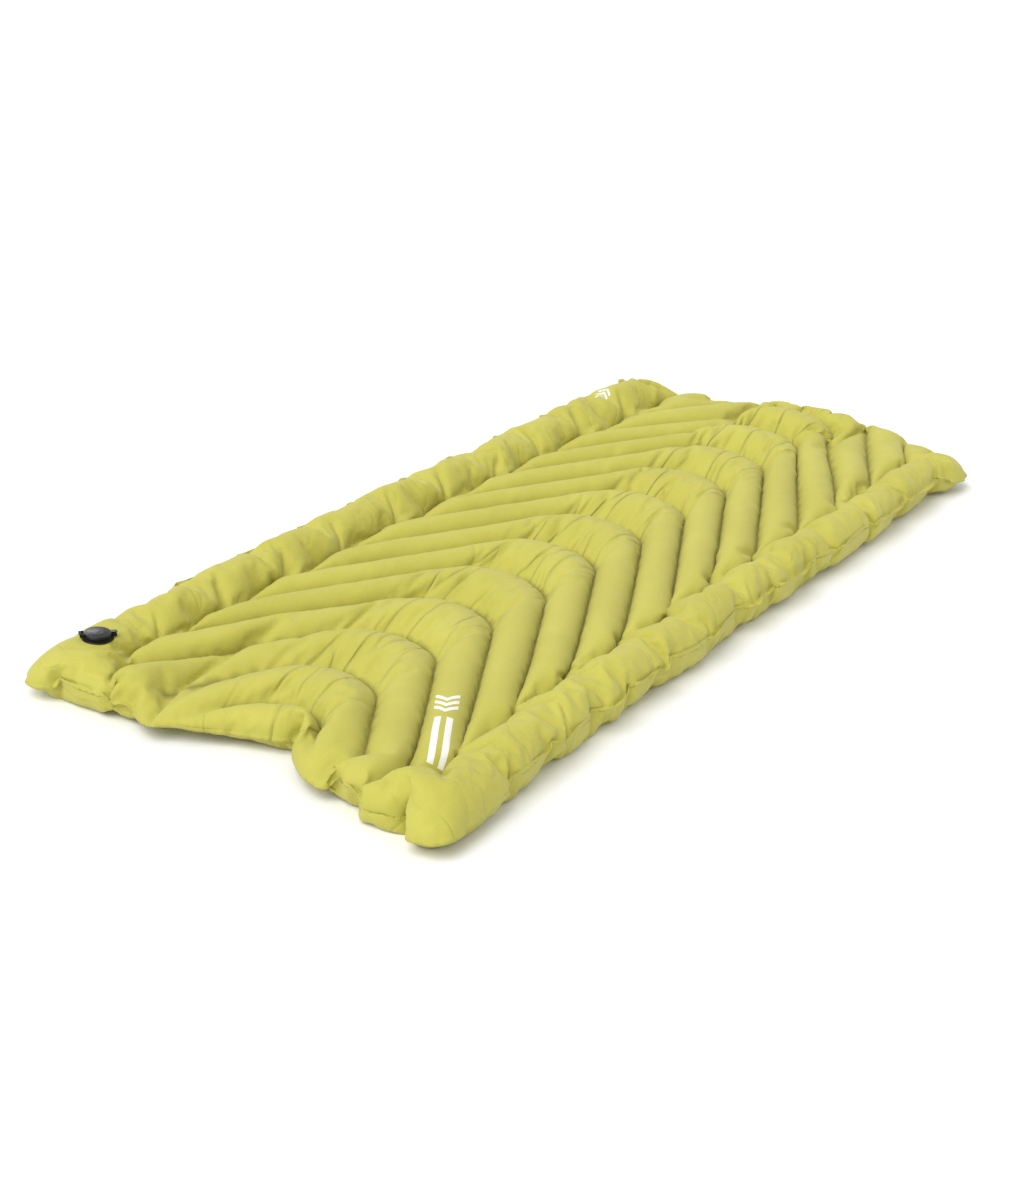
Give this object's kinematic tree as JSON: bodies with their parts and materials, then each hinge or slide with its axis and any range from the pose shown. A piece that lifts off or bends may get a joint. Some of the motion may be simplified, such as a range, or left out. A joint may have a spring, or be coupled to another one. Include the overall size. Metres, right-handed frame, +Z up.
{
  "type": "inflatable sleeping pad",
  "caption": "Blown-up camping pad of two welded coated-fabric sheets with V-shaped air chambers, two side rails and a flat flip valve with an inflate cap and a deflate lid.",
  "frame": {"origin": "middle of the bounding box, on the resting plane under the pad", "axes": "+X along the length from the valve end to the head end, +Y across to the valve side, +Z up"},
  "size_m": [1.48, 0.6, 0.0688],
  "materials": {
    "coated_fabric": "matt polyurethane-coated woven polyester, yellow-green",
    "patch_film": "matt welded film",
    "valve_black": "satin moulded polyurethane",
    "seal_grey": "soft moulded ring",
    "clear_silicone": "thin milky silicone"
  },
  "bodies": {
    "pad": {"top_sheet": "coated_fabric", "bottom_sheet": "coated_fabric", "valve_patch": "patch_film", "valve_base": "valve_black", "hinge_collar": "valve_black"},
    "deflate_lid": {"deflate_lid": "valve_black", "deflate_seal": "seal_grey"},
    "inflate_cap": {"inflate_cap": "valve_black", "inflate_seal": "seal_grey"},
    "check_flap": {"check_flap": "clear_silicone"}
  },
  "joints": [
    {"name": "deflate_hinge", "type": "hinge", "parent": "pad", "child": "deflate_lid", "pos_m": [-0.6408, 0.24196, 0.0636], "axis": [0.5736, 0.8192, 0], "range_deg": [0, 105]},
    {"name": "inflate_hinge", "type": "hinge", "parent": "deflate_lid", "child": "inflate_cap", "pos_m": [-0.6752, 0.26604, 0.067], "axis": [-0.5736, -0.8192, 0], "range_deg": [0, 150]},
    {"name": "flap_slide", "type": "slide", "parent": "deflate_lid", "child": "check_flap", "axis": [0, 0, -1], "range_m": [0, 0.0014], "stiffness_N_per_m": 20, "springref_m": -0.0003}
  ]
}
